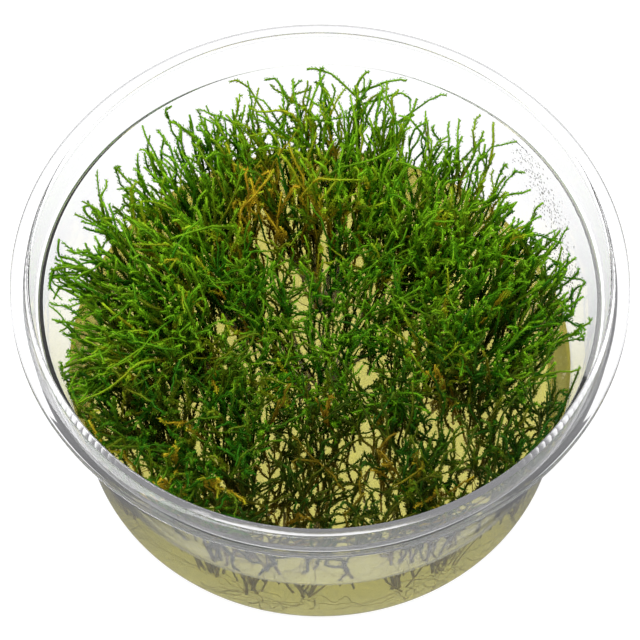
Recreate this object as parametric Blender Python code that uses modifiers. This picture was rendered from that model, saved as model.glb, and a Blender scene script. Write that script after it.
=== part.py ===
"""Clump of water moss in its clear culture cup: cup, nutrient jelly and the tufts of shoots.

Metres, +Z up. The origin is the centre of the cup's flat underside.
"""

import math

import bmesh
import bpy

MM = 0.001

# Cup, a thin moulded shell turned about +Z.
CUP_HEIGHT = 46.5 * MM
RIM_RADIUS = 50.0 * MM
WALL = 0.8 * MM
BASE_RADIUS = 40.2 * MM
BASE_FILLET = 3.6 * MM
LEDGE_HEIGHT = 39.5 * MM
LEDGE_RADIUS = 44.9 * MM
LEDGE_WIDTH = 1.2 * MM
SEAT_TOP_RADIUS = 46.7 * MM
FLANGE_HEIGHT = 44.2 * MM
SKIRT_DROP = 1.5 * MM
CUP_SEGMENTS = 72

# Jelly, the set growing medium in the bottom of the cup.
GAP = 0.3 * MM
JELLY_TOP = 17.5 * MM

# Tufts, each a bundle of shoots that widens from its foot in the jelly to its tips.
RING_COUNT = 8
MAT_RADIUS = 17.0 * MM
MAT_HEIGHT = 34.0 * MM
MAT_FOOT_RADIUS = 8.0 * MM
CELL_GAP = 0.25 * MM
FOOT_Z = 4.0 * MM
FOOT_RADIUS = 3.4 * MM
RING_CROWN_AT = 30.5 * MM
RIPPLE = 0.9 * MM
CROWN_LIFT = 0.8 * MM
TUFT_SIDES = 20
WALL_CLEARANCE = 0.6 * MM
CORNER_SHARPNESS = 13.0

# Each ring tuft: name, height of its tips, how far out its foot stands, how far it leans out
# (1 reaches the wall). The front ones are rooted close to the wall.
RING_TUFTS = [
    ("tuft_right", 37.0 * MM, 21.5 * MM, 0.97),
    ("tuft_back_right", 37.5 * MM, 21.5 * MM, 0.96),
    ("tuft_back", 37.5 * MM, 21.5 * MM, 0.98),
    ("tuft_back_left", 38.5 * MM, 21.5 * MM, 1.0),
    ("tuft_left", 38.0 * MM, 21.5 * MM, 1.0),
    ("tuft_front_left", 36.5 * MM, 29.0 * MM, 1.0),
    ("tuft_front", 34.5 * MM, 30.0 * MM, 0.98),
    ("tuft_front_right", 36.0 * MM, 29.0 * MM, 0.98),
]


def clear_scene():
    for obj in list(bpy.data.objects):
        bpy.data.objects.remove(obj, do_unlink=True)


def new_collection(name):
    collection = bpy.data.collections.new(name)
    bpy.context.scene.collection.children.link(collection)
    return collection


def plain_material(name, color, roughness, transmission=0.0, ior=1.45):
    material = bpy.data.materials.new(name)
    material.use_nodes = True
    shader = material.node_tree.nodes["Principled BSDF"]
    shader.inputs["Base Color"].default_value = (*color, 1.0)
    shader.inputs["Roughness"].default_value = roughness
    shader.inputs["Metallic"].default_value = 0.0
    shader.inputs["Transmission Weight"].default_value = transmission
    shader.inputs["IOR"].default_value = ior
    return material


def add_object(name, mesh, material, collection):
    obj = bpy.data.objects.new(name, mesh)
    obj.data.materials.append(material)
    collection.objects.link(obj)
    return obj


def turned(name, profile, material, collection):
    """A solid of revolution about +Z from a closed outline of (radius, height) points.

    The outline runs down the outer side first. Points on the axis become poles.
    """
    mesh = bpy.data.meshes.new(name)
    bm = bmesh.new()
    verts = [bm.verts.new((radius, 0.0, height)) for radius, height in profile]
    for first, second in zip(verts, verts[1:]):
        bm.edges.new((first, second))
    if profile[0][0] > 0.0:
        bm.edges.new((verts[-1], verts[0]))
    bm.to_mesh(mesh)
    bm.free()
    obj = add_object(name, mesh, material, collection)
    screw = obj.modifiers.new("turn", "SCREW")
    screw.axis = "Z"
    screw.steps = CUP_SEGMENTS
    screw.render_steps = CUP_SEGMENTS
    screw.use_merge_vertices = True
    screw.merge_threshold = 0.00002
    screw.use_smooth_shade = True
    return obj


def arc(centre_radius, centre_height, radius, start_deg, end_deg, steps):
    """Points along a round corner of a profile."""
    points = []
    for i in range(steps + 1):
        angle = math.radians(start_deg + (end_deg - start_deg) * i / steps)
        points.append(
            (centre_radius + radius * math.cos(angle), centre_height + radius * math.sin(angle))
        )
    return points


def wall_radius(height):
    """Inner radius of the tapered cup wall at a height."""
    low, high = BASE_FILLET, LEDGE_HEIGHT
    share = (height - low) / (high - low)
    base = BASE_RADIUS - WALL
    return base + (LEDGE_RADIUS - base) * min(max(share, 0.0), 1.0)


def cup_profile():
    """Section of the cup: rim skirt, outer wall, base, inner wall, lid ledge and rim top."""
    skirt_low = FLANGE_HEIGHT - SKIRT_DROP
    seat_outer = SEAT_TOP_RADIUS + WALL
    ledge_outer = LEDGE_RADIUS + LEDGE_WIDTH
    inner_fillet = BASE_FILLET - WALL
    outside = [
        (seat_outer, CUP_HEIGHT),
        (RIM_RADIUS - 0.6 * MM, FLANGE_HEIGHT + 0.5 * MM),
        (RIM_RADIUS, FLANGE_HEIGHT),
        (RIM_RADIUS, skirt_low),
        (RIM_RADIUS - WALL, skirt_low),
        (RIM_RADIUS - WALL, FLANGE_HEIGHT - 0.5 * MM),
        (seat_outer, CUP_HEIGHT - 1.6 * MM),
        (ledge_outer + WALL, LEDGE_HEIGHT - WALL),
        (LEDGE_RADIUS + WALL, LEDGE_HEIGHT - WALL),
    ]
    outside += arc(BASE_RADIUS - BASE_FILLET, BASE_FILLET, BASE_FILLET, 0, -90, 5)
    inside = arc(BASE_RADIUS - BASE_FILLET, BASE_FILLET, inner_fillet, -90, 0, 4)
    inside += [
        (LEDGE_RADIUS, LEDGE_HEIGHT),
        (ledge_outer, LEDGE_HEIGHT),
        (SEAT_TOP_RADIUS, CUP_HEIGHT),
    ]
    return outside, inside


def make_cup(collection):
    """The whole cup in one outline, with its floor closed by a pole on the axis."""
    outside, inside = cup_profile()
    profile = outside + [(0.0, 0.0), (0.0, WALL)] + inside
    shell = plain_material("clear_plastic", (0.95, 0.96, 0.97), 0.05, 1.0, 1.57)
    return turned("cup", profile, shell, collection)


def ray_to_line(px, py, dx, dy, nx, ny, offset):
    """Distance from a point along a direction to the line nx*x + ny*y = offset."""
    along = dx * nx + dy * ny
    if along < 1e-9:
        return 1.0
    return (offset - px * nx - py * ny) / along


def ray_to_circle(px, py, dx, dy, radius):
    """Distance from a point inside a circle at the origin along a direction to it."""
    along = px * dx + py * dy
    return -along + math.sqrt(along * along - px * px - py * py + radius * radius)


def cell_reach(px, py, angle, half_width, inner, outer, heading):
    """Reach from a point to its cell's border, with the corners rounded off.

    A cell with no half width is the round one in the middle.
    """
    dx, dy = math.cos(angle), math.sin(angle)
    if half_width == 0.0:
        return ray_to_circle(px, py, dx, dy, outer)
    limits = [ray_to_circle(px, py, dx, dy, outer)]
    for side in (-1.0, 1.0):
        normal = heading + side * (half_width + math.pi / 2)
        limits.append(
            ray_to_line(px, py, dx, dy, math.cos(normal), math.sin(normal), -CELL_GAP)
        )
    limits.append(
        ray_to_line(px, py, dx, dy, -math.cos(heading), -math.sin(heading), -inner)
    )
    total = sum(limit ** -CORNER_SHARPNESS for limit in limits)
    return total ** (-1.0 / CORNER_SHARPNESS)


def tuft_sections(
    heading, half_width, inner, outer, foot_at, crown_at, foot_radius, tip_height, grow
):
    """Outlines of one tuft from foot to crown: each a list of points."""
    # share of the way up, spread across the cell, and how far the axis has leant over
    stages = [
        (0.00, 0.00, 0.00),
        (0.20, 0.05, 0.03),
        (0.36, 0.30, 0.22),
        (0.58, 0.66, 0.60),
        (0.80, 0.92, 0.90),
        (0.92, 0.96, 1.00),
        (1.00, 0.62, 1.00),
    ]
    sections = []
    for up, spread, lean in stages:
        height = FOOT_Z + (tip_height - FOOT_Z) * up
        distance = foot_at + (crown_at - foot_at) * lean
        px, py = distance * math.cos(heading), distance * math.sin(heading)
        limit = min(outer, wall_radius(height) - WALL_CLEARANCE)
        points = []
        for i in range(TUFT_SIDES):
            angle = heading + 2.0 * math.pi * i / TUFT_SIDES
            reach = cell_reach(px, py, angle, half_width, inner, limit, heading)
            radius = foot_radius + grow + (reach - foot_radius) * spread
            radius = min(radius, reach)
            lump = 0.035 * up * math.sin(5.0 * angle + 9.0 * up + 3.0 * heading)
            radius *= 1.0 - abs(lump)
            ripple = RIPPLE * up * up * math.sin(4.0 * angle + 2.0 * heading)
            points.append(
                (px + radius * math.cos(angle), py + radius * math.sin(angle), height + ripple)
            )
        sections.append(points)
    return sections


def lofted(name, sections, crown_lift, material, collection):
    """A closed skin through the sections: a capped ring drawn up from one to the next."""
    mesh = bpy.data.meshes.new(name)
    bm = bmesh.new()
    made = bmesh.ops.create_circle(bm, cap_ends=True, segments=TUFT_SIDES, radius=FOOT_RADIUS)
    ring = made["verts"]
    for vert, point in zip(ring, sections[0]):
        vert.co = point
    edges = [edge for edge in bm.edges if all(v in ring for v in edge.verts)]
    for points in sections[1:]:
        drawn = bmesh.ops.extrude_edge_only(bm, edges=edges)["geom"]
        new_verts = [v for v in drawn if isinstance(v, bmesh.types.BMVert)]
        edges = [e for e in drawn if isinstance(e, bmesh.types.BMEdge)]
        followers = {}
        for vert in new_verts:
            for edge in vert.link_edges:
                other = edge.other_vert(vert)
                if other in ring:
                    followers[other] = vert
        ring = [followers[vert] for vert in ring]
        for vert, point in zip(ring, points):
            vert.co = point
    cap = bmesh.ops.contextual_create(bm, geom=edges)["faces"]
    poked = bmesh.ops.poke(bm, faces=cap)
    poked["verts"][0].co.z += crown_lift
    bmesh.ops.recalc_face_normals(bm, faces=bm.faces)
    bm.to_mesh(mesh)
    bm.free()
    obj = add_object(name, mesh, material, collection)
    mesh.shade_smooth()
    return obj


def tuft_layout():
    """Every tuft's name and the arguments of its sections."""
    layout = []
    step = 2.0 * math.pi / RING_COUNT
    for i, (name, height, foot_at, lean) in enumerate(RING_TUFTS):
        outer = LEDGE_RADIUS * lean
        inner = MAT_RADIUS + 2.0 * CELL_GAP
        stance = (foot_at, RING_CROWN_AT, FOOT_RADIUS)
        layout.append((name, (i * step, step / 2, inner, outer, *stance, height)))
    middle = (0.0, 0.0, 0.0, MAT_RADIUS, 0.0, 0.0, MAT_FOOT_RADIUS, MAT_HEIGHT)
    layout.append(("mat_middle", middle))
    return layout


def make_jelly(sockets, collection):
    """A disc that fits the cup's floor, with a socket where each tuft's foot stands."""
    fillet = BASE_FILLET - WALL - GAP
    floor = WALL + GAP
    edge = wall_radius(JELLY_TOP) - GAP
    profile = [(0.0, JELLY_TOP), (edge, JELLY_TOP)]
    profile += arc(BASE_RADIUS - BASE_FILLET, BASE_FILLET, fillet, 0, -90, 4)
    profile += [(0.0, floor)]
    medium = plain_material("nutrient_jelly", (0.86, 0.80, 0.52), 0.1, 0.9, 1.34)
    jelly = turned("jelly", profile, medium, collection)
    for socket in sockets:
        cut = jelly.modifiers.new("socket_" + socket.name, "BOOLEAN")
        cut.operation = "DIFFERENCE"
        cut.object = socket
        cut.solver = "EXACT"
    return jelly


def main():
    clear_scene()
    parts = new_collection("moss_clump")
    cutters = new_collection("cutters")
    moss = plain_material("moss", (0.07, 0.20, 0.03), 0.7)
    make_cup(parts)
    sockets = []
    for name, shape in tuft_layout():
        lofted(name, tuft_sections(*shape, 0.0), CROWN_LIFT, moss, parts)
        wide = tuft_sections(*shape, GAP)[:4]
        foot = [(x, y, z - GAP) for x, y, z in wide[0]]
        socket = lofted("cut_" + name, [foot] + wide[1:], 0.0, moss, cutters)
        socket.hide_render = True
        socket.display_type = "WIRE"
        sockets.append(socket)
    make_jelly(sockets, parts)


main()
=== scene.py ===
# %% [markdown]
# # A clump of water moss in its clear culture cup
#
# Water moss is grown from cuttings in a shallow clear cup, rooted in a set jelly that feeds it.
# This lesson builds three very different finishes: moulded clear plastic, a see-through jelly and
# a dense mass of fine leafy shoots. The measured solids come first, as a frame that is never
# moved, and each of them is then replaced by a detailed piece in the same place.

import math

import bpy
import numpy as np
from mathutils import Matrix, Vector


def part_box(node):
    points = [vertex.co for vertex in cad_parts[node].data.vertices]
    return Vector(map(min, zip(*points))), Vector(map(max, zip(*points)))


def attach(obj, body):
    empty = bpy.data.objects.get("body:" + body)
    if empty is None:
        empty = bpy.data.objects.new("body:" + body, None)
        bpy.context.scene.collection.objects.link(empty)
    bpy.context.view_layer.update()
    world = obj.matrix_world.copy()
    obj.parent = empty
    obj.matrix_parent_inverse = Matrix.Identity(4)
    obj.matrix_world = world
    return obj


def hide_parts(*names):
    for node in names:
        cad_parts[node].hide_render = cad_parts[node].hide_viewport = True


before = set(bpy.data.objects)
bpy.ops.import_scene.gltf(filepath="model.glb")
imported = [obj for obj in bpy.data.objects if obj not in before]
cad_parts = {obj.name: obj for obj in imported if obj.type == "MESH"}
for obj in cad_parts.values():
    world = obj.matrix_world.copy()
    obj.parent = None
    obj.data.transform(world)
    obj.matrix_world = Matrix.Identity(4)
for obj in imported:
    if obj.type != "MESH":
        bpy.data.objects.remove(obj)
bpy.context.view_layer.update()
MM = 0.001
FULL_TURN = 2.0 * math.pi
print("nodes in the frame:", len(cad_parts))

# %% [markdown]
# The camera looks down into the cup from the front. A long lens from well back keeps the rings of
# the rim close to true ellipses. It could be aimed with a Track To constraint, but the two angles
# are known, so its place and turn are worked out from them and stay plain values.

# %% Place the camera
CAMERA_ELEVATION = math.radians(59.2)
CAMERA_DISTANCE = 600.0 * MM
CAMERA_LENS_MM = 210.0
AIM_BELOW_RIM = 7.95 * MM

rim_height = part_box("cup")[1].z
toward_camera = Vector((0.0, -math.cos(CAMERA_ELEVATION), math.sin(CAMERA_ELEVATION)))
camera_up = Vector((0.0, math.sin(CAMERA_ELEVATION), math.cos(CAMERA_ELEVATION)))
aim = Vector((0.0, 0.0, rim_height)) - camera_up * AIM_BELOW_RIM
camera_data = bpy.data.cameras.new("camera")
camera_data.lens = CAMERA_LENS_MM
camera_data.clip_start = 0.01
camera = bpy.data.objects.new("camera", camera_data)
camera.location = aim + toward_camera * CAMERA_DISTANCE
camera.rotation_euler = (math.pi / 2 - CAMERA_ELEVATION, 0.0, 0.0)
bpy.context.scene.collection.objects.link(camera)
bpy.context.scene.camera = camera
print("camera at", [round(v, 4) for v in camera.location])

# %% [markdown]
# A clear thing is seen only by what it bends and mirrors. In an all-white room the cup would
# vanish, so the room is white overhead and behind the cup, as a curved paper backdrop makes it, and
# dim on the camera's side: the dim side is what draws the rings of the rim. One big soft lamp above
# and behind gives the shoots a lit side.

# %% Light the room
SKY_TOP = 1.0
SKY_EDGE = 0.22
SWEEP_PULL = 0.55
SKY_EDGE_BLUE = 1.03
SKY_FULL_AT = 0.40
LAMP_SIZE = 0.4
LAMP_PLACE = (-0.25, 0.30, 0.70)
LAMP_POWER = 3.0


def link(tree, source, target):
    tree.links.new(source, target)


world = bpy.data.worlds.new("studio")
bpy.context.scene.world = world
world.use_nodes = True
sky = world.node_tree
sky_place = sky.nodes.new("ShaderNodeTexCoord")
sky_parts = sky.nodes.new("ShaderNodeSeparateXYZ")
sky_ramp = sky.nodes.new("ShaderNodeValToRGB")
sky_height = sky.nodes.new("ShaderNodeMath")
sky_height.operation = "MULTIPLY_ADD"
sky_height.inputs[1].default_value = SWEEP_PULL
sky_ramp.color_ramp.elements[0].position = 0.0
sky_ramp.color_ramp.elements[0].color = (SKY_EDGE, SKY_EDGE, SKY_EDGE * SKY_EDGE_BLUE, 1.0)
sky_ramp.color_ramp.elements[1].position = SKY_FULL_AT
sky_ramp.color_ramp.elements[1].color = (SKY_TOP, SKY_TOP, SKY_TOP, 1.0)
link(sky, sky_place.outputs["Generated"], sky_parts.inputs["Vector"])
link(sky, sky_parts.outputs["Y"], sky_height.inputs[0])
link(sky, sky_parts.outputs["Z"], sky_height.inputs[2])
link(sky, sky_height.outputs["Value"], sky_ramp.inputs["Fac"])
link(sky, sky_ramp.outputs["Color"], sky.nodes["Background"].inputs["Color"])

lamp_data = bpy.data.lights.new("soft_lamp", "AREA")
lamp_data.shape = "SQUARE"
lamp_data.size = LAMP_SIZE
lamp_data.energy = LAMP_POWER
lamp = bpy.data.objects.new("soft_lamp", lamp_data)
lamp.location = LAMP_PLACE
lamp.rotation_euler = (aim - lamp.location).to_track_quat("-Z", "Y").to_euler()
bpy.context.scene.collection.objects.link(lamp)
bpy.context.scene.view_settings.view_transform = "Standard"
print("sky from", SKY_EDGE, "to", SKY_TOP)

# %% [markdown]
# The floor is a plain pale sheet. It glows a little, as a light table does, so that light also
# comes up through the jelly, where the moss above would otherwise leave it dark. Mirrored in the
# steep front wall, so bright a floor would lay a grey veil over everything inside, so it is kept
# out of mirror images, as a dark card in front of the cup would keep it.

# %% Lay the floor
FLOOR_SIZE = 6.0
FLOOR_GLOW = 0.92
FLOOR_DROP = 0.0002
FLOOR_GREY = 0.20


def deselect_everything():
    if bpy.context.mode != "OBJECT":
        bpy.ops.object.mode_set(mode="OBJECT")
    bpy.ops.object.select_all(action="DESELECT")


def new_material(name):
    """A material with its Principled shader, ready for its own pattern."""
    material = bpy.data.materials.new(name)
    material.use_nodes = True
    tree = material.node_tree
    return material, tree, tree.nodes["Principled BSDF"]


deselect_everything()
bpy.ops.mesh.primitive_plane_add(size=FLOOR_SIZE, location=(0.0, 0.0, -FLOOR_DROP))
floor = bpy.context.object
floor.name = "floor"
floor_paint, floor_tree, floor_shader = new_material("pale_floor")
floor_shader.inputs["Base Color"].default_value = (FLOOR_GREY, FLOOR_GREY, FLOOR_GREY, 1.0)
floor_shader.inputs["Roughness"].default_value = 0.9
floor_shader.inputs["Emission Color"].default_value = (1.0, 1.0, 1.0, 1.0)
floor_shader.inputs["Emission Strength"].default_value = FLOOR_GLOW
floor.data.materials.append(floor_paint)
floor.visible_glossy = False
print("floor laid,", FLOOR_SIZE, "m across")

# %% [markdown]
# ## The cup
#
# The real cup is one thin moulding, round everywhere, so its whole shape is in its section: skirt
# and flange, the two steps of the rim, the ledge that a lid presses onto, the tapered wall and the
# rounded foot. The section is drawn point by point and spun once round the upright axis.

# %% Spin a section into a shell
ROUND_STEPS = 192
WELD = 0.004 * MM
SHARP_CORNER = math.radians(28.0)


def arc_points(centre, radius, start_deg, end_deg, steps):
    """Points along a round corner of a section."""
    angles = np.radians(np.linspace(start_deg, end_deg, steps + 1))
    return [(centre[0] + radius * math.cos(a), centre[1] + radius * math.sin(a)) for a in angles]


def spin_section(name, section):
    """Draws a section beside the axis, both ends on the axis, and spins it into a closed shell."""
    deselect_everything()
    bpy.ops.mesh.primitive_plane_add(size=MM, location=(0.0, 0.0, 0.0))
    shell = bpy.context.object
    shell.name = name
    bpy.ops.object.mode_set(mode="EDIT")
    bpy.ops.mesh.select_all(action="SELECT")
    bpy.ops.mesh.merge(type="CENTER")
    bpy.ops.transform.translate(value=(section[0][0], 0.0, section[0][1]))
    for here, there in zip(section, section[1:]):
        step = (there[0] - here[0], 0.0, there[1] - here[1])
        bpy.ops.mesh.extrude_region_move(TRANSFORM_OT_translate={"value": step})
    bpy.ops.mesh.select_all(action="SELECT")
    bpy.ops.mesh.spin(steps=ROUND_STEPS, angle=FULL_TURN, center=(0, 0, 0), axis=(0, 0, 1))
    bpy.ops.mesh.select_all(action="SELECT")
    bpy.ops.mesh.remove_doubles(threshold=WELD)
    bpy.ops.mesh.normals_make_consistent(inside=False)
    bpy.ops.object.mode_set(mode="OBJECT")
    return shell


def soften_corners(shell, width, smooth_deg):
    """Rounds the sharp rings a little, as a mould does, and smooths the rest."""
    bevel = shell.modifiers.new("soft_corners", "BEVEL")
    bevel.width = width
    bevel.segments = 2
    bevel.limit_method = "ANGLE"
    bevel.angle_limit = SHARP_CORNER
    bpy.context.view_layer.objects.active = shell
    bpy.ops.object.modifier_apply(modifier=bevel.name)
    bpy.ops.object.shade_smooth_by_angle(angle=math.radians(smooth_deg))


print("round pieces are spun in", ROUND_STEPS, "steps")

# %% [markdown]
# The section runs out along the underside, up the outside, round the rim and back down inside. The
# wall could be one outline with Solidify, but a moulding isn't equally thick at its steps, so both
# sides are drawn. The underside of the ledge is cut back at a slant, as a mould needs to let go.

# %% Shape the cup
WALL = 0.4 * MM
CORNER_ROUNDING = 0.16 * MM
CORNER_SMOOTH_DEG = 30.0
FOOT_CORNER = 3.6 * MM
FOOT_RADIUS = 40.2 * MM
LEDGE_RADIUS = 44.9 * MM
LEDGE_HEIGHT = 39.5 * MM
LEDGE_OUTER = 46.1 * MM
SEAT_RADIUS = 46.7 * MM
FLANGE_HEIGHT = 44.2 * MM
SKIRT_BOTTOM = 42.7 * MM

rim_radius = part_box("cup")[1].x
seat_outer = SEAT_RADIUS + WALL
cup_section = [(0.0, 0.0)]
cup_section += arc_points((FOOT_RADIUS - FOOT_CORNER, FOOT_CORNER), FOOT_CORNER, -90, 0, 10)
cup_section += [
    (LEDGE_RADIUS + WALL, LEDGE_HEIGHT - 3.2 * WALL),
    (LEDGE_RADIUS + 2.2 * WALL, LEDGE_HEIGHT - WALL),
    (LEDGE_OUTER + WALL, LEDGE_HEIGHT - WALL),
    (seat_outer, FLANGE_HEIGHT + 0.7 * MM),
    (rim_radius - WALL, FLANGE_HEIGHT - 0.5 * MM),
    (rim_radius - WALL, SKIRT_BOTTOM),
    (rim_radius, SKIRT_BOTTOM),
    (rim_radius, FLANGE_HEIGHT),
    (rim_radius - 0.6 * MM, FLANGE_HEIGHT + 0.5 * MM),
    (seat_outer, rim_height),
    (SEAT_RADIUS, rim_height),
    (LEDGE_OUTER, LEDGE_HEIGHT),
    (LEDGE_RADIUS, LEDGE_HEIGHT),
]
cup_section += arc_points((FOOT_RADIUS - FOOT_CORNER, FOOT_CORNER), FOOT_CORNER - WALL, 0, -90, 8)
cup_section += [(0.0, WALL)]
cup = spin_section("cup_shell", cup_section)
soften_corners(cup, CORNER_ROUNDING, CORNER_SMOOTH_DEG)
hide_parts("cup")
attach(cup, "root")
print("cup faces:", len(cup.data.polygons))

# %% [markdown]
# Clear plastic bends light by 1.57. Its gloss is never quite even: the melt leaves faint flow
# marks, which a stretched noise gives to the roughness and to a very low bump. The underside is
# left matt. Polished, it would act as a mirror to light that is already inside the jelly, and the
# foot of the cup would look dark; matt, it lets the light of the table in from below.

# %% Finish the cup in clear plastic
FOOT_FROST = 0.70
FROST_FADES_AT = 0.35 * MM
FLOW_ROUGHNESS = 0.06

plastic, tree, shader = new_material("clear_plastic_finish")
shader.inputs["Base Color"].default_value = (0.99, 0.99, 1.0, 1.0)
shader.inputs["Transmission Weight"].default_value = 1.0
shader.inputs["IOR"].default_value = 1.57


def stretched_noise(tree, scale, stretch):
    """Noise on the piece's own place, stretched along each axis."""
    place = tree.nodes.new("ShaderNodeTexCoord")
    mapping = tree.nodes.new("ShaderNodeMapping")
    mapping.inputs["Scale"].default_value = stretch
    noise = tree.nodes.new("ShaderNodeTexNoise")
    noise.inputs["Scale"].default_value = scale
    link(tree, place.outputs["Object"], mapping.inputs["Vector"])
    link(tree, mapping.outputs["Vector"], noise.inputs["Vector"])
    return noise


def spread(tree, source, low, high):
    """Turns a 0 to 1 pattern into values from low to high."""
    between = tree.nodes.new("ShaderNodeMapRange")
    between.inputs["To Min"].default_value = low
    between.inputs["To Max"].default_value = high
    link(tree, source, between.inputs["Value"])
    return between.outputs["Result"]


flow = stretched_noise(tree, 60.0, (1.0, 1.0, 3.0))
place = tree.nodes.new("ShaderNodeTexCoord")
place_parts = tree.nodes.new("ShaderNodeSeparateXYZ")
link(tree, place.outputs["Object"], place_parts.inputs["Vector"])
foot_frost = tree.nodes.new("ShaderNodeMapRange")
foot_frost.inputs["From Min"].default_value = FROST_FADES_AT
foot_frost.inputs["From Max"].default_value = 0.0
foot_frost.inputs["To Max"].default_value = FOOT_FROST
link(tree, place_parts.outputs["Z"], foot_frost.inputs["Value"])
rough = tree.nodes.new("ShaderNodeMath")
link(tree, spread(tree, flow.outputs["Fac"], 0.0, FLOW_ROUGHNESS), rough.inputs[0])
link(tree, foot_frost.outputs["Result"], rough.inputs[1])
link(tree, rough.outputs["Value"], shader.inputs["Roughness"])
ripple = tree.nodes.new("ShaderNodeBump")
ripple.inputs["Strength"].default_value = 0.04
ripple.inputs["Distance"].default_value = 0.3 * MM
link(tree, flow.outputs["Fac"], ripple.inputs["Height"])
link(tree, ripple.outputs["Normal"], shader.inputs["Normal"])
cup.data.materials.append(plastic)
print("finish:", plastic.name)

# %% [markdown]
# ## The jelly
#
# The medium was poured in warm and set, so it fits the cup's floor and climbs the wall a little.
# Its colour comes from inside: light loses blue on its way through, which an absorbing volume does
# in the same way, deeper where the jelly is deeper.

# %% Set the jelly
JELLY_CLIMB = 0.7 * MM
JELLY_PRESS = 0.03 * MM
# The climb at the edge: how far back from the wall, in mm, and what share of the climb is left.
JELLY_CURVE = ((0.3, 0.62), (0.8, 0.34), (1.6, 0.12), (2.8, 0.03), (4.5, 0.0))


def wall_inside(height):
    """Inner radius of the tapered wall at a height."""
    share = np.clip((height - FOOT_CORNER) / (LEDGE_HEIGHT - FOOT_CORNER), 0.0, 1.0)
    foot = FOOT_RADIUS - WALL
    return foot + (LEDGE_RADIUS - foot) * share


jelly_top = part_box("jelly")[1].z
jelly_corner = FOOT_CORNER - WALL + JELLY_PRESS
jelly_centre = (FOOT_RADIUS - FOOT_CORNER, FOOT_CORNER)
jelly_section = [(0.0, WALL - JELLY_PRESS)]
jelly_section += arc_points(jelly_centre, jelly_corner, -90, 0, 8)
edge_height = jelly_top + JELLY_CLIMB
edge = float(wall_inside(edge_height)) + JELLY_PRESS
jelly_section += [(edge, edge_height)]
for back_from_edge, climb in JELLY_CURVE:
    jelly_section += [(edge - back_from_edge * MM, jelly_top + JELLY_CLIMB * climb)]
jelly_section += [(20.0 * MM, jelly_top - 0.05 * MM), (0.0, jelly_top)]
jelly = spin_section("jelly_set", jelly_section)
bpy.ops.object.shade_smooth_by_angle(angle=math.radians(40.0))
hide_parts("jelly")
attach(jelly, "root")
print("jelly is", round((jelly_top - WALL) / MM, 1), "mm deep")

# %% [markdown]
# Set jelly is clear with a slight haze. A clear shader alone looks like syrup, so a small share of
# the surface scatters light, and a slow noise gives the wet top its uneven gloss and gentle sag.
# The yellow stays in the volume, so thick parts are deeper in colour than the thin edge.

# %% Finish the jelly
gel, tree, shader = new_material("nutrient_jelly_finish")
shader.inputs["Base Color"].default_value = (0.98, 0.93, 0.42, 1.0)
shader.inputs["Transmission Weight"].default_value = 0.82
shader.inputs["IOR"].default_value = 1.34
swirl = stretched_noise(tree, 90.0, (1.0, 1.0, 1.0))
link(tree, spread(tree, swirl.outputs["Fac"], 0.0, 0.08), shader.inputs["Roughness"])
sag = tree.nodes.new("ShaderNodeBump")
sag.inputs["Strength"].default_value = 0.12
sag.inputs["Distance"].default_value = 0.4 * MM
link(tree, swirl.outputs["Fac"], sag.inputs["Height"])
link(tree, sag.outputs["Normal"], shader.inputs["Normal"])
tint = tree.nodes.new("ShaderNodeVolumeAbsorption")
tint.inputs["Color"].default_value = (0.97, 0.945, 0.10, 1.0)
tint.inputs["Density"].default_value = 36.0
link(tree, tint.outputs["Volume"], tree.nodes["Material Output"].inputs["Volume"])
jelly.data.materials.append(gel)
print("finish:", gel.name)

# %% [markdown]
# ## The moss
#
# The clump is many hundreds of shoots. Each rises from the jelly, leans out, carries side branches
# and is clothed in tiny overlapping leaves. They could be hair, but hair isn't mesh,
# so the shoots are grown as paths of points, and arrays turn the paths into stems and leaves.
# Every tuft has its own seeded dice, so the clump comes out the same each time.

# %% Grow paths
SHOOT_POINTS = 24
BRANCH_POINTS = 7
WALL_ROOM = 1.0 * MM
TOP_ROOM = 40.0 * MM
FLOOR_ROOM = 1.6 * MM
BEND_WAVES = (1.0, 2.6, 5.6)
KNEE_SCATTER = 1.3 * MM


def unit(vectors):
    return vectors / np.maximum(np.linalg.norm(vectors, axis=-1, keepdims=True), 1e-12)


def wobble(dice, paths, reach):
    """Bends each path by a few slow waves that grow from its start to its end."""
    count, points, _ = paths.shape
    along = np.linspace(0.0, 1.0, points)[None, :, None]
    for waves in BEND_WAVES:
        size = reach / waves**0.75
        turn = dice.normal(0.0, size, (count, 1, 3))
        phase = dice.uniform(0.0, FULL_TURN, (count, 1, 1))
        paths = paths + turn * (np.sin(FULL_TURN * waves * along * 0.8 + phase)) * along**0.8
    return paths


def keep_inside(paths):
    """Holds every point within the cup's wall and under its rim."""
    paths[..., 2] = np.clip(paths[..., 2], FLOOR_ROOM, TOP_ROOM)
    flat = np.linalg.norm(paths[..., :2], axis=-1)
    most = wall_inside(paths[..., 2]) - WALL_ROOM
    paths[..., :2] *= np.minimum(1.0, most / np.maximum(flat, 1e-9))[..., None]
    return paths


def grow_shoots(dice, feet, tips, upright, rise, crook):
    """Shoots from feet to tips that rise first and lean out later."""
    knee_share = np.array([upright, upright, rise])
    knees = feet + (tips - feet) * knee_share + dice.normal(0.0, KNEE_SCATTER, feet.shape)
    along = np.linspace(0.0, 1.0, SHOOT_POINTS)[None, :, None]
    paths = (
        (1 - along) ** 2 * feet[:, None]
        + 2 * along * (1 - along) * knees[:, None]
        + along**2 * tips[:, None]
    )
    return keep_inside(wobble(dice, paths, crook))


print("points on a shoot:", SHOOT_POINTS)

# %% [markdown]
# A branch leaves its parent at some share of the way along, opens to one side and curls a little
# upwards. The same helper makes side branches from shoots, and small forks from side branches.

# %% Grow side branches
BRANCH_CROOK = 0.38 * MM
BRANCH_CURL = 0.22


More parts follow.
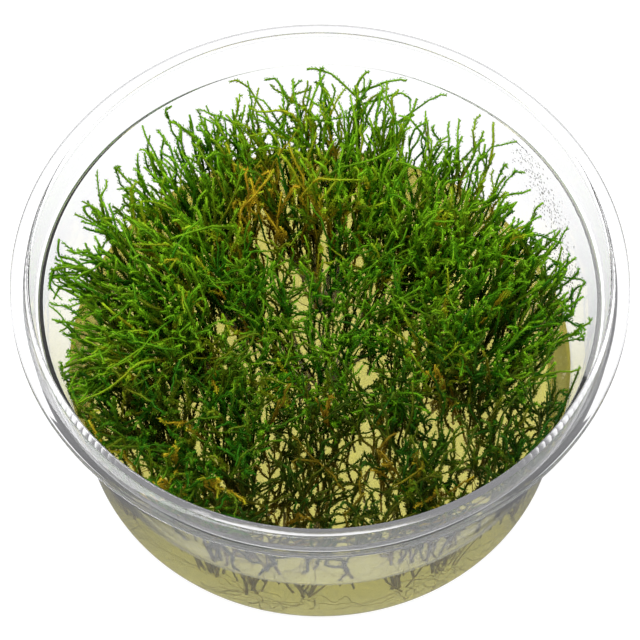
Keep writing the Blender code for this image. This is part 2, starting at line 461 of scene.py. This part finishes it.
def grow_branches(dice, paths, each, low, short, long, spread_out):
    """Side branches off the given paths: where they leave, and how far along the parent."""
    count, points, _ = paths.shape
    parent = np.repeat(np.arange(count), each)
    leave = dice.uniform(low, 0.97, len(parent))
    spot = leave * (points - 1)
    before = np.minimum(spot.astype(int), points - 2)
    part = (spot - before)[:, None]
    start = paths[parent, before] * (1 - part) + paths[parent, before + 1] * part
    heading = unit(paths[parent, before + 1] - paths[parent, before])
    aside = dice.normal(0.0, 1.0, heading.shape)
    aside = unit(aside - heading * (aside * heading).sum(1, keepdims=True))
    open_by = dice.uniform(0.6, 1.2, (len(parent), 1)) * spread_out
    heading = unit(heading + aside * open_by)
    length = dice.uniform(short, long, (len(parent), 1, 1)) * MM
    along = np.linspace(0.0, 1.0, BRANCH_POINTS)[None, :, None]
    curl = unit(dice.normal(0.0, 1.0, heading.shape) + np.array([0.0, 0.0, 0.6]))
    grown = start[:, None] + heading[:, None] * length * along
    grown = grown + curl[:, None] * length * BRANCH_CURL * along**2
    return keep_inside(wobble(dice, grown, BRANCH_CROOK)), parent, leave


print("points on a branch:", BRANCH_POINTS)


# %% [markdown]
# A stem is a thin three-sided tube and a leaf is a folded kite of two triangles. That is coarse,
# but a stem is thinner than a pencil line and there are hundreds of thousands of leaves. The leaf
# arrangement is nature's: each leaf turns by the golden angle from the one below.
#
# Each corner also gets a place on a small colour chart, stored as a UV map: across it is the tint
# of the shoot, and up it is the age, from the brown foot to the fresh tip.

# %% Turn paths into stems
CHART_STEP = 0.006
STEM_SIDES = 3
STEM_TAPER = 0.80


def stem_frames(paths):
    """Direction and two cross directions at each point of each path."""
    forward = unit(np.gradient(paths, axis=1))
    chord = unit(paths[:, -1] - paths[:, 0])
    helper = np.where(np.abs(chord[:, 2:]) > 0.7, [[1.0, 0.0, 0.0]], [[0.0, 0.0, 1.0]])
    side = helper[:, None] - forward * (helper[:, None] * forward).sum(-1, keepdims=True)
    side = unit(side)
    return forward, side, np.cross(forward, side)


def build_stems(paths, thick, chart):
    """Three-sided closed tubes. chart is the colour place of each path's points."""
    count, points, _ = paths.shape
    _, side, other = stem_frames(paths)
    taper = np.linspace(1.0, STEM_TAPER, points)[None, :, None] * thick[:, None, None]
    rings = []
    for turn in range(STEM_SIDES):
        a = FULL_TURN * turn / STEM_SIDES
        rings.append(paths + (side * math.cos(a) + other * math.sin(a)) * taper)
    verts = np.stack(rings, 2).reshape(-1, 3)
    at = np.arange(count * points * 3).reshape(count, points, 3)
    nxt = np.roll(at, -1, axis=2)
    low, low_next, up, up_next = at[:, :-1], nxt[:, :-1], at[:, 1:], nxt[:, 1:]
    walls = np.concatenate(
        [
            np.stack([low, low_next, up_next], -1).reshape(-1, 3),
            np.stack([low, up_next, up], -1).reshape(-1, 3),
        ]
    )
    caps = np.concatenate([at[:, 0, ::-1], at[:, -1]])
    place = np.repeat(chart[:, :, None, :], 3, axis=2)
    place = place + np.array([[-1.0, 0.0], [1.0, 0.0], [0.0, 1.0]]) * CHART_STEP
    return verts, np.concatenate([walls, caps]), place.reshape(-1, 2)


print("sides on a stem:", STEM_SIDES)

# %% [markdown]
# Leaves could be instances of one leaf, but each has to sit on a curved stem and turn with it, so
# their corners are worked out together. They stand closest where the shoot is young, and thin out
# towards its bare brown foot. A leaf is an open blade, as thin as the real one.

# %% Turn paths into leaves
GOLDEN_ANGLE = 2.39996
LEAF_LIFT = (0.60, 1.10)
LEAF_HALF_WIDTH = 0.27
TIP_LEAF_LOSS = 0.45


def leaf_spots(dice, paths, chart, gap):
    """Which path each leaf is on, its number up the path, and how far along it sits."""
    length = np.linalg.norm(np.diff(paths, axis=1), axis=2).sum(1)
    number = np.maximum((length / gap).astype(int), 2)
    owner = np.repeat(np.arange(len(paths)), number)
    first = np.cumsum(number) - number
    order = np.arange(len(owner)) - first[owner]
    along = (order + 0.5) / number[owner]
    keep = dice.random(len(owner)) < np.clip(0.15 + chart[owner, 0, 1] + 1.7 * along, 0.0, 1.0)
    return owner[keep], order[keep], along[keep]


def build_leaves(dice, paths, thick, chart, gap, size):
    """Folded leaves up each path, closest together where the shoot is young."""
    points = paths.shape[1]
    forward, side, other = stem_frames(paths)
    owner, order, along = leaf_spots(dice, paths, chart, gap)
    spot = along * (points - 1)
    before = np.minimum(spot.astype(int), points - 2)
    part = (spot - before)[:, None]

    def between(values):
        return values[owner, before] * (1 - part) + values[owner, before + 1] * part

    centre, ahead = between(paths), unit(between(forward))
    turn = (GOLDEN_ANGLE * order + owner)[:, None] + dice.normal(0.0, 0.3, (len(owner), 1))
    out = unit(between(side) * np.cos(turn) + between(other) * np.sin(turn))
    lift = dice.uniform(*LEAF_LIFT, (len(owner), 1))
    grow = size[owner][:, None] * (1.0 - TIP_LEAF_LOSS * along[:, None] ** 16)
    grow = grow * dice.uniform(0.75, 1.2, (len(owner), 1))
    axis = unit(ahead + out * lift)
    across = unit(np.cross(axis, out))
    base = centre + out * thick[owner][:, None] * 0.7
    middle = base + axis * grow * 0.42 + out * grow * 0.07
    tip = base + axis * grow
    half = across * grow * LEAF_HALF_WIDTH
    verts = np.stack([base, middle + half, tip, middle - half], 1)
    start = np.arange(len(owner))[:, None] * 4
    faces = np.concatenate([start + np.array([0, 1, 2]), start + np.array([0, 2, 3])])
    place = between(chart) + dice.normal(0.0, (0.07, 0.035), (len(owner), 2))
    corners = np.array([[0.0, -1.0], [1.0, 0.0], [0.0, 1.0], [-1.0, 0.0]]) * CHART_STEP
    place = place[:, None] + corners
    return verts.reshape(-1, 3), faces, place.reshape(-1, 2)


print("widest part of a leaf, as a share of its length:", 2 * LEAF_HALF_WIDTH)

# %% [markdown]
# Thousands of leaves as separate objects would be slow to draw and to save. All of one tuft's
# stems and leaves become a single mesh, written straight from the arrays in a few calls. Stems are
# shaded smooth, and leaves flat, because a leaf is a crisp folded blade.

# %% Join the arrays of one tuft into a mesh
def join_parts(name, parts):
    """One mesh object from several (points, triangles, chart places)."""
    shift, verts, faces, places, smooth = 0, [], [], [], []
    for points, triangles, chart, is_smooth in parts:
        verts.append(points)
        faces.append(triangles + shift)
        places.append(chart)
        smooth.append(np.full(len(triangles), is_smooth))
        shift += len(points)
    verts, faces = np.concatenate(verts), np.concatenate(faces)
    mesh = bpy.data.meshes.new(name)
    mesh.vertices.add(len(verts))
    mesh.vertices.foreach_set("co", verts.astype(np.float32).ravel())
    mesh.loops.add(faces.size)
    mesh.loops.foreach_set("vertex_index", faces.astype(np.int32).ravel())
    mesh.polygons.add(len(faces))
    mesh.polygons.foreach_set("loop_start", np.arange(0, faces.size, 3, dtype=np.int32))
    mesh.polygons.foreach_set("use_smooth", np.concatenate(smooth))
    chart = np.clip(np.concatenate(places), 0.01, 0.99)[faces.ravel()]
    mesh.uv_layers.new(name="OFBake")
    mesh.uv_layers["OFBake"].data.foreach_set("uv", chart.astype(np.float32).ravel())
    mesh.update(calc_edges=True)
    piece = bpy.data.objects.new(name, mesh)
    bpy.context.scene.collection.objects.link(piece)
    return piece


print("one mesh is made for each tuft")

# %% [markdown]
# A shoot's colour tells its age: brown at the foot, deep green in the middle and fresh green above.
# Some of the freshest end in a dark point. An ageing shoot goes through yellower colours. Each line
# below is an age from 0 to 1 and the colour at that age.

# %% Choose the colours of age
GREEN_AGES = [
    (0.00, (0.40, 0.31, 0.070)),
    (0.17, (0.34, 0.25, 0.024)),
    (0.30, (0.050, 0.078, 0.002)),
    (0.52, (0.011, 0.084, 0.001)),
    (0.74, (0.030, 0.205, 0.001)),
    (0.90, (0.220, 0.520, 0.007)),
    (0.965, (0.280, 0.580, 0.010)),
    (1.00, (0.020, 0.050, 0.001)),
]
AMBER_AGES = [
    (0.00, (0.40, 0.29, 0.050)),
    (0.30, (0.30, 0.17, 0.006)),
    (0.50, (0.36, 0.23, 0.010)),
    (0.66, (0.72, 0.50, 0.020)),
    (0.85, (0.40, 0.56, 0.012)),
    (0.96, (0.36, 0.54, 0.012)),
    (1.00, (0.05, 0.08, 0.003)),
]


print("colours:", len(GREEN_AGES), "green and", len(AMBER_AGES), "amber")

# %% [markdown]
# The chart itself is drawn by the material: fresh green above, deep green in the middle and brown
# at the foot, and beside it a yellower range for the shoots that have begun to age. A fine noise
# on the chart keeps neighbouring leaves from matching.

# %% Finish the moss
MOTTLE_SCALE = 45.0
MOTTLE_SHADE = (0.35, 1.65)
MOTTLE_ROUGHNESS = (0.55, 0.80)


def age_ramp(tree, value, ages):
    ramp = tree.nodes.new("ShaderNodeValToRGB")
    stops = ramp.color_ramp.elements
    while len(stops) < len(ages):
        stops.new(0.5)
    for stop, (position, colour) in zip(stops, ages):
        stop.position = position
        stop.color = (*colour, 1.0)
    link(tree, value, ramp.inputs["Fac"])
    return ramp.outputs["Color"]


moss, tree, shader = new_material("moss_finish")
chart_node = tree.nodes.new("ShaderNodeUVMap")
chart_node.uv_map = "OFBake"
chart_parts = tree.nodes.new("ShaderNodeSeparateXYZ")
link(tree, chart_node.outputs["UV"], chart_parts.inputs["Vector"])
tint_mix = tree.nodes.new("ShaderNodeMix")
tint_mix.data_type = "RGBA"
link(tree, chart_parts.outputs["X"], tint_mix.inputs["Factor"])
link(tree, age_ramp(tree, chart_parts.outputs["Y"], GREEN_AGES), tint_mix.inputs["A"])
link(tree, age_ramp(tree, chart_parts.outputs["Y"], AMBER_AGES), tint_mix.inputs["B"])
mottle = tree.nodes.new("ShaderNodeTexNoise")
mottle.inputs["Scale"].default_value = MOTTLE_SCALE
link(tree, chart_node.outputs["UV"], mottle.inputs["Vector"])
shade = tree.nodes.new("ShaderNodeHueSaturation")
link(tree, spread(tree, mottle.outputs["Fac"], *MOTTLE_SHADE), shade.inputs["Value"])
link(tree, tint_mix.outputs["Result"], shade.inputs["Color"])
link(tree, shade.outputs["Color"], shader.inputs["Base Color"])
link(tree, spread(tree, mottle.outputs["Fac"], *MOTTLE_ROUGHNESS), shader.inputs["Roughness"])
shader.inputs["Specular IOR Level"].default_value = 0.15
print("finish:", moss.name)

# %% [markdown]
# ## Plant the tufts
#
# The ring tufts stand round the wall and one mat fills the middle. The tips are scattered evenly
# over each tuft's part of the crown, with a little overlap so that no seam shows, and the feet draw
# in to the tuft's base. At the front the shoots stand more upright; elsewhere they lean out.
#
# One grower makes every tuft, so what differs is written as numbers, a row for each tuft. Shoots
# at the front are tangled and those at the back loose. The tufts away from the lamp, at the front
# and right, are painted darker and browner, and those towards it brighter: painted shade and light.
# One patch near the back has aged to amber, thinned out and sunk a little.

# %% Tuft settings
RING_NAMES = ("right", "back_right", "back", "back_left", "left", "front_left", "front", "front_right")
# shoots: how many. edge: how far out the crown reaches, in mm. yellow: the share of the shoots
# that has yellowed. gather: how far the feet draw in to the tuft's base. upright and rise: how far
# out and up a shoot has gone at its knee. painted_light_level: how far up the colour chart the
# shoots reach; set low on the side away from the lamp, front and right, it paints shade there, and
# set high at the back and left it paints light.
# side: branches on a shoot. open: how far they stand off. stout: how thick the shoots are.
# base: how far from the axis the tuft is rooted, in mm. roots: how many root points it has.
# crook: how far a shoot strays from its smooth line, in mm. twig: the longest side branch, in mm.
# inner: how near to the axis the crown begins, in mm.
HABIT_WORDS = (
    "shoots", "edge", "yellow", "gather", "upright", "rise", "painted_light_level", "side", "open", "stout",
    "base", "roots", "crook", "twig", "inner",
)
HABITS = {
    "right": (152, 42.0, 0.03, 0.45, 0.45, 0.55, 0.85, 1, 0.34, 1.00, 18.0, 2, 0.85, 11.0, 19.0),
    "back_right": (128, 39.5, 0.12, 0.50, 0.40, 0.62, 0.92, 1, 0.30, 1.00, 15.0, 1, 1.05, 12.0, 20.0),
    "back": (132, 43.0, 0.22, 0.50, 0.35, 0.65, 0.95, 1, 0.28, 1.05, 14.0, 1, 1.30, 13.0, 20.0),
    "back_left": (134, 42.8, 0.20, 0.55, 0.35, 0.70, 0.93, 1, 0.28, 1.05, 14.0, 1, 1.30, 13.0, 20.0),
    "left": (150, 44.2, 0.07, 0.65, 0.32, 0.85, 0.89, 1, 0.32, 1.00, 15.0, 1, 1.05, 12.0, 20.0),
    "front_left": (170, 46.0, 0.04, 0.60, 0.36, 0.90, 0.74, 2, 0.45, 0.95, 27.0, 2, 0.85, 9.0, 17.0),
    "front": (98, 44.0, 0.05, 0.35, 0.50, 0.60, 0.48, 2, 0.80, 0.95, 31.0, 3, 1.50, 10.0, 14.0),
    "front_right": (108, 45.0, 0.05, 0.35, 0.50, 0.60, 0.60, 2, 0.70, 0.97, 30.0, 2, 1.30, 10.0, 14.0),
    "middle": (186, 22.0, 0.05, 0.15, 0.50, 0.70, 0.84, 4, 0.85, 0.87, 0.0, 1, 1.10, 8.0, 0.0),
}
print("tufts:", len(HABITS))

# %% [markdown]
# The tips come first, because they are what the eye sees: even over the tuft's part of the crown,
# a few of them short. The ring's crown swells and sinks in a few lumps, as grown moss does.

# %% Scatter the tips
TIP_SCATTER = 3.2 * MM
CROWN_LUMPS = 9
CROWN_TURN = 0.6
LUMP_REACH = 0.045
LUMP_HEIGHT = 1.2 * MM
# The aged patch: its middle, how far it reaches, how much lower its crown stands, the share of
# shoots that it has lost, and the share of the rest that has turned amber.
AMBER_MIDDLE = np.array([-9.0, 21.0]) * MM
AMBER_REACH = 10.0 * MM
AMBER_DIP = 2.5 * MM
AMBER_THINNING = 0.45
AMBER_SHARE = 0.72


def aged_share(tips):
    """1 in the middle of the aged patch, fading to 0 outside it."""
    away = np.linalg.norm(tips[:, :2] - AMBER_MIDDLE, axis=1) / AMBER_REACH
    return np.clip(1.6 - 1.6 * away, 0.0, 1.0)


def scatter_tips(dice, habit, heading, half_angle, top):
    """Tips spread evenly over a sector of the crown, a few of them short."""
    number = habit["shoots"]
    inner, outer = habit["inner"] * MM, habit["edge"] * MM
    angle = heading + dice.uniform(-half_angle, half_angle, number)
    lump = np.sin(CROWN_LUMPS * angle + CROWN_TURN) * (inner > 0.0)
    outer = outer * (1.0 + LUMP_REACH * lump)
    radius = np.sqrt(dice.uniform(inner**2, outer**2, number))
    height = top - np.abs(dice.normal(0.0, TIP_SCATTER, number)) + 1.0 * MM
    height = height + LUMP_HEIGHT * lump
    tips = np.stack([radius * np.cos(angle), radius * np.sin(angle), height], 1)
    tips[:, 2] -= AMBER_DIP * aged_share(tips)
    return tips[dice.random(number) > AMBER_THINNING * aged_share(tips)]


print("lumps round the crown:", CROWN_LUMPS)

# %% [markdown]
# A rooted shoot reaches down to one of its tuft's few root points. The others branch off just under
# the jelly's top, which keeps the jelly bright. Each of those starts a little below the
# surface, at a depth that is drawn for it, so that none of them floats.

# %% Lead the shoots down to their roots
ROOTED_SHARE = 0.22
ROOTED_GATHER = 0.90
ROOT_MIXING = 5.0 * MM
ROOT_HEIGHT = (2.6, 5.0)
FOOT_SCATTER = 0.7 * MM
UNROOTED_DEPTH = (0.8 * MM, 4.0 * MM)


def root_points(dice, heading, half_angle, habit):
    """The few points near the cup's floor where a tuft's shoots come together."""
    number = habit["roots"]
    turn = (np.arange(number) + 0.5) / number * 2.0 - 1.0
    angle = heading + turn * half_angle + dice.normal(0.0, 0.04, number)
    radius = habit["base"] * MM + dice.normal(0.0, 1.0 * MM, number)
    height = dice.uniform(*ROOT_HEIGHT, number) * MM
    return np.stack([radius * np.cos(angle), radius * np.sin(angle), height], 1)


def lead_feet(dice, tips, roots, habit):
    """Where each shoot begins, and how far up its whole length that is."""
    number = len(tips)
    away = np.linalg.norm(tips[:, None, :2] - roots[None, :, :2], axis=2)
    away = away + dice.normal(0.0, ROOT_MIXING, away.shape)
    base = roots[away.argmin(1)]
    rooted = dice.random(number) < ROOTED_SHARE
    draw = np.where(rooted, 1.0 - ROOTED_GATHER, 1.0 - habit["gather"])[:, None]
    feet = base + (tips - base) * draw * np.array([1.0, 1.0, 0.0])
    feet = feet + dice.normal(0.0, FOOT_SCATTER, feet.shape)
    begins = jelly_top - dice.uniform(*UNROOTED_DEPTH, number)
    start = (begins - feet[:, 2]) / (tips[:, 2] - feet[:, 2])
    start = np.where(rooted, 0.0, np.clip(start, 0.0, 1.0))[:, None]
    return feet + (tips - feet) * start, start


print("share of shoots that are rooted:", ROOTED_SHARE)

# %% [markdown]
# Each path gets a tint, which it keeps, and an age that grows from foot to tip. A branch starts
# at an age close to its parent's, and in the aged patch everything looks older.

# %% Give every path its tint and its ages
GREEN_TINT = (0.09, 0.10)
YELLOW_TINT = (0.45, 1.0)
AMBER_TINT = 0.95
AMBER_FADE = 0.25
FOOT_AGE = 0.05


def chart_places(tints, ages):
    """Pairs each path's tint with the age at each of its points."""
    return np.stack(np.broadcast_arrays(tints[:, None], ages), -1)


def tint_shoots(dice, aged, habit):
    """Mostly green, some yellowed, and amber in the aged patch."""
    number = len(aged)
    tints = np.clip(dice.normal(*GREEN_TINT, number), 0.0, 1.0)
    yellowed = dice.random(number) < habit["yellow"]
    tints = np.where(yellowed, dice.uniform(*YELLOW_TINT, number), tints)
    return tints + (AMBER_TINT - tints) * aged * (dice.random(number) < AMBER_SHARE)


def age_paths(dice, aged, start, parent, leave, painted_light_level):
    """Ages along the shoots, their branches and the forks."""
    first = np.maximum(start, FOOT_AGE)
    # Scaling the ages by the tuft's light level paints shade: tufts away from the lamp come out darker
    # and browner.
    ages = (first + (1.0 - first) * np.linspace(0.0, 1.0, SHOOT_POINTS)[None]) * painted_light_level
    shoot_ages = ages + dice.normal(0.0, 0.05, (len(aged), 1)) - AMBER_FADE * aged[:, None] * ages
    grown = np.linspace(0.0, 1.0, BRANCH_POINTS)[None]
    parent_age = first[parent, 0] + (1.0 - first[parent, 0]) * leave
    first_age = (0.1 + 0.75 * parent_age)[:, None]
    branch_ages = (first_age + (1.0 - first_age) * grown) * painted_light_level
    branch_ages = branch_ages - AMBER_FADE * aged[parent][:, None]
    return shoot_ages, branch_ages, (0.75 + 0.25 * grown) * painted_light_level


print("tint of a green shoot, middle and spread:", GREEN_TINT)

# %% [markdown]
# Shoots, side branches and forks are dressed alike, each finer than the last. The rootlets stay
# bare: thin curling threads that run out from a root point through the jelly.

# %% Dress the paths
# Stem radius and leaf length of shoots, side branches and forks, in mm.
STRANDS = ((0.25, 0.50), (0.22, 0.47), (0.20, 0.42))
LEAF_GAP = 0.165
ROOTLETS = 7
ROOTLET_THICK = 0.10 * MM
ROOTLET_CROOK = 1.1 * MM


def dress_paths(dice, paths, chart, strand, stout):
    """The stems and the leaves of one kind of path."""
    thick, leaf = strand
    stem = dice.uniform(0.8, 1.2, len(paths)) * thick * stout * MM
    size = dice.uniform(0.8, 1.2, len(paths)) * leaf * stout * MM
    leaves = build_leaves(dice, paths, stem, chart, LEAF_GAP * MM, size)
    return [(*build_stems(paths, stem, chart), True), (*leaves, False)]


def grow_rootlets(dice, base, number):
    """Thin curling rootlets that run out from a tuft's base through the jelly."""
    start = base + dice.normal(0.0, 1.5 * MM, (number, 3))
    angle = math.atan2(base[1], base[0]) + dice.uniform(-1.3, 1.3, number)
    length = dice.uniform(7.0, 15.0, number) * MM
    end = start + np.stack([length * np.cos(angle), length * np.sin(angle), 0.0 * angle], 1)
    end[:, 2] = dice.uniform(1.8, 5.0, number) * MM
    along = np.linspace(0.0, 1.0, SHOOT_POINTS)[None, :, None]
    paths = start[:, None] + (end - start)[:, None] * along
    return keep_inside(wobble(dice, paths, ROOTLET_CROOK))


def dress_rootlets(dice, roots):
    """Bare pale stems for the rootlets of every root point."""
    rootlets = np.concatenate([grow_rootlets(dice, root, ROOTLETS) for root in roots])
    tints = np.full(len(rootlets), 0.2)
    chart = chart_places(tints, np.linspace(0.02, 0.12, SHOOT_POINTS)[None])
    return (*build_stems(rootlets, np.full(len(rootlets), ROOTLET_THICK), chart), True)


print("rootlets at each root point:", ROOTLETS)

# %% [markdown]
# Now a tuft is a short list of steps: tips, roots, shoots, side branches, forks, colours, and one
# mesh out of it all, which takes the place of the tuft's plain solid.

# %% Plant one tuft
FIRST_SEED = 100
FORKED_SHARE = 0.14
FORK_LENGTH = (1.5, 3.5)
FORK_OPENING = 0.7


def plant_tuft(place, heading, half_angle, node):
    """Grows one tuft over its CAD node and returns its finished piece."""
    dice = np.random.default_rng(FIRST_SEED + list(HABITS).index(place))
    habit = dict(zip(HABIT_WORDS, HABITS[place]))
    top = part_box(node)[1].z
    tips = scatter_tips(dice, habit, heading, half_angle, top)
    roots = root_points(dice, heading, half_angle, habit)
    feet, start = lead_feet(dice, tips, roots, habit)
    crook, twig = habit["crook"] * MM, habit["twig"]
    shoots = grow_shoots(dice, feet, tips, habit["upright"], habit["rise"], crook)
    branches, parent, leave = grow_branches(
        dice, shoots, habit["side"], 0.40, 0.4 * twig, twig, habit["open"]
    )
    forked = dice.random(len(branches)) < FORKED_SHARE
    forks, fork_parent, _ = grow_branches(
        dice, branches[forked], 1, 0.35, *FORK_LENGTH, FORK_OPENING
    )
    aged = aged_share(tips)
    tints = tint_shoots(dice, aged, habit)
    tint_sets = (tints, tints[parent], tints[parent][forked][fork_parent])
    age_sets = age_paths(dice, aged, start, parent, leave, habit["painted_light_level"])
    parts = []
    for paths, tint, ages, strand in zip((shoots, branches, forks), tint_sets, age_sets, STRANDS):
        parts += dress_paths(dice, paths, chart_places(tint, ages), strand, habit["stout"])
    parts.append(dress_rootlets(dice, roots))
    piece = join_parts("moss_" + place, parts)
    piece.data.materials.append(moss)
    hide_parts(node)
    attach(piece, "root")
    print(piece.name, len(piece.data.polygons), "triangles")
    return piece


print("share of side branches that fork:", FORKED_SHARE)

# %% [markdown]
# Eight tufts share the ring, each a little wider than its eighth, and the mat covers the middle.
# Each one takes the place of its own plain solid in the frame.

# %% Plant the ring and the mat
OVERLAP_SHARE = 0.56

sector = FULL_TURN / len(RING_NAMES)
half_sector = sector * OVERLAP_SHARE
moss_pieces = []
for i, place in enumerate(RING_NAMES):
    moss_pieces.append(plant_tuft(place, i * sector, half_sector, "tuft_" + place))
moss_pieces.append(plant_tuft("middle", 0.0, math.pi, "mat_middle"))
print("moss triangles in all:", sum(len(p.data.polygons) for p in moss_pieces))

# %% [markdown]
# ## Damp on the wall
#
# Warm damp air leaves a patch of fine droplets on the wall. One small flattened ball is modelled
# and copied, each copy turned with the wall and sunk a little into it, and all are one piece.

# %% Model one droplet
DROPLET_FLATNESS = 0.55

deselect_everything()
bpy.ops.mesh.primitive_uv_sphere_add(segments=8, ring_count=5, radius=1.0, location=(0, 0, 0))
pattern = bpy.context.object
bpy.ops.object.mode_set(mode="EDIT")
bpy.ops.mesh.select_all(action="SELECT")
bpy.ops.transform.resize(value=(DROPLET_FLATNESS, 1.0, 1.0))
bpy.ops.mesh.quads_convert_to_tris()
bpy.ops.object.mode_set(mode="OBJECT")
ball = np.array([v.co for v in pattern.data.vertices])
ball_faces = np.array([list(p.vertices) for p in pattern.data.polygons])
bpy.data.objects.remove(pattern)
print("triangles on a droplet:", len(ball_faces))

# %% [markdown]
# The patch runs up the wall at a slant, so a droplet's height follows its place round the wall,
# with some scatter. Each copy is only numbers until the last step, which makes them one mesh.

# %% Scatter the droplets over the wall
DROPLETS = 620
DROPLET_SEED = 7
DROPLET_SIZE = (0.07 * MM, 0.19 * MM)
DAMP_HEADING = (math.radians(8.0), math.radians(44.0))
DAMP_HEIGHT = (24.0 * MM, 38.0 * MM)
DAMP_SCATTER = 0.17

dice = np.random.default_rng(DROPLET_SEED)
turn = dice.uniform(*DAMP_HEADING, DROPLETS)
low, high = DAMP_HEIGHT
lean = (turn - DAMP_HEADING[0]) / (DAMP_HEADING[1] - DAMP_HEADING[0])
height = low + (high - low) * np.clip(lean + dice.normal(0.0, DAMP_SCATTER, DROPLETS), 0.0, 1.0)
size = dice.uniform(*DROPLET_SIZE, DROPLETS)
radius = wall_inside(height)
balls = ball[None] * size[:, None, None]
x = balls[..., 0] + radius[:, None]
spots = np.stack(
    [
        x * np.cos(turn)[:, None] - balls[..., 1] * np.sin(turn)[:, None],
        x * np.sin(turn)[:, None] + balls[..., 1] * np.cos(turn)[:, None],
        balls[..., 2] + height[:, None],
    ],
    -1,
)
drop_faces = (ball_faces[None] + np.arange(DROPLETS)[:, None, None] * len(ball)).reshape(-1, 3)
drop_mesh = bpy.data.meshes.new("wall_droplets")
drop_mesh.from_pydata(spots.reshape(-1, 3).tolist(), [], drop_faces.tolist())
drop_mesh.shade_smooth()
droplets = bpy.data.objects.new("wall_droplets", drop_mesh)
bpy.context.scene.collection.objects.link(droplets)
print("droplets:", DROPLETS, "of", len(ball_faces), "triangles")

# %% [markdown]
# Water bends light a little less than the plastic under it. A faint noise keeps the gloss of the
# droplets from being all the same.

# %% Finish the droplets in water
WATER_ROUGHNESS = 0.10

water, tree, shader = new_material("water_finish")
shader.inputs["Base Color"].default_value = (1.0, 1.0, 1.0, 1.0)
shader.inputs["Transmission Weight"].default_value = 1.0
shader.inputs["IOR"].default_value = 1.33
film = stretched_noise(tree, 400.0, (1.0, 1.0, 1.0))
link(tree, spread(tree, film.outputs["Fac"], 0.0, WATER_ROUGHNESS), shader.inputs["Roughness"])
droplets.data.materials.append(water)
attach(droplets, "root")
print("finish:", water.name)
